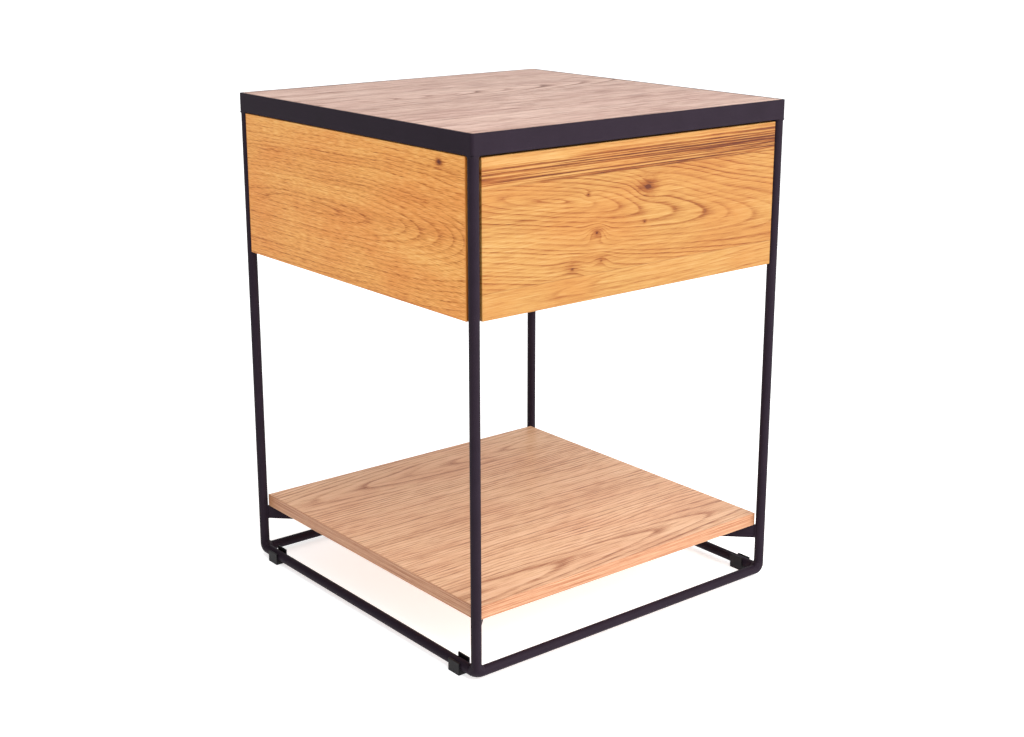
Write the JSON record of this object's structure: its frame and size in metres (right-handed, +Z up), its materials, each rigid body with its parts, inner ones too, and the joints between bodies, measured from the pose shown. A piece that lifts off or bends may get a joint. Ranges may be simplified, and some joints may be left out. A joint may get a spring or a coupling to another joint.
{
  "type": "side table with drawer",
  "caption": "Square side table: black round-bar steel frame, oak top set flush in the rim, handleless oak drawer on ball-bearing runners, open lower shelf.",
  "frame": {"origin": "middle of the floor area under the table, at the underside of the glides", "axes": "+Z up, the drawer opens towards -Y, +X to the right of someone who faces the drawer"},
  "size_m": [0.474, 0.47, 0.61],
  "materials": {
    "oak_top": "pale brushed oak, matt lacquer",
    "oak_shelf": "oak veneer, matt lacquer",
    "oak_front": "solid oak staves with knots, oiled",
    "oak_panel": "oak veneer, oiled",
    "birch": "plain lacquered birch",
    "powder_coat": "fine-textured black powder coat",
    "glide_plastic": "black moulded plastic",
    "runner_steel": "bright zinc plate",
    "screw_zinc": "zinc plate"
  },
  "bodies": {
    "frame": {"top_board": "oak_top", "shelf_board": "oak_shelf", "rim_front": "powder_coat", "rim_back": "powder_coat", "rim_left": "powder_coat", "rim_right": "powder_coat", "leg_front_left": "powder_coat", "leg_front_right": "powder_coat", "leg_back_left": "powder_coat", "leg_back_right": "powder_coat", "bend_front_left": "powder_coat", "bend_front_right": "powder_coat", "bend_back_left": "powder_coat", "bend_back_right": "powder_coat", "rail_front": "powder_coat", "rail_back": "powder_coat", "rail_left": "powder_coat", "rail_right": "powder_coat", "bracket_front_left": "powder_coat", "bracket_front_right": "powder_coat", "bracket_back_left": "powder_coat", "bracket_back_right": "powder_coat", "glide_front_left": "glide_plastic", "glide_front_right": "glide_plastic", "glide_back_left": "glide_plastic", "glide_back_right": "glide_plastic", "side_panel_left": "oak_panel", "side_panel_right": "oak_panel", "back_panel": "oak_panel", "case_stretcher": "birch", "corner_block_left": "birch", "corner_block_right": "birch", "case_runner_left": "runner_steel", "case_runner_right": "runner_steel", "top_screws": "screw_zinc", "panel_screws": "screw_zinc", "shelf_screws": "screw_zinc", "case_runner_screws": "screw_zinc"},
    "drawer": {"drawer_front": "oak_front", "box_front": "birch", "box_back": "birch", "box_side_left": "birch", "box_side_right": "birch", "box_bottom": "birch", "drawer_runner_left": "runner_steel", "drawer_runner_right": "runner_steel", "drawer_runner_screws": "screw_zinc", "front_screws": "screw_zinc"},
    "runner_left": {"mid_runner_left": "runner_steel", "ball_cage_left": "runner_steel"},
    "runner_right": {"mid_runner_right": "runner_steel", "ball_cage_right": "runner_steel"}
  },
  "joints": [
    {"name": "drawer_slide", "type": "slide", "parent": "frame", "child": "drawer", "axis": [0, -1, 0], "range_m": [0, 0.28]},
    {"name": "mid_runner_left_slide", "type": "slide", "parent": "frame", "child": "runner_left", "axis": [0, -1, 0], "range_m": [0, 0.14]},
    {"name": "mid_runner_right_slide", "type": "slide", "parent": "frame", "child": "runner_right", "axis": [0, -1, 0], "range_m": [0, 0.14]}
  ],
  "couplings": [
    {"joint": "mid_runner_left_slide", "follows": "drawer_slide", "ratio": 0.5},
    {"joint": "mid_runner_right_slide", "follows": "drawer_slide", "ratio": 0.5}
  ]
}
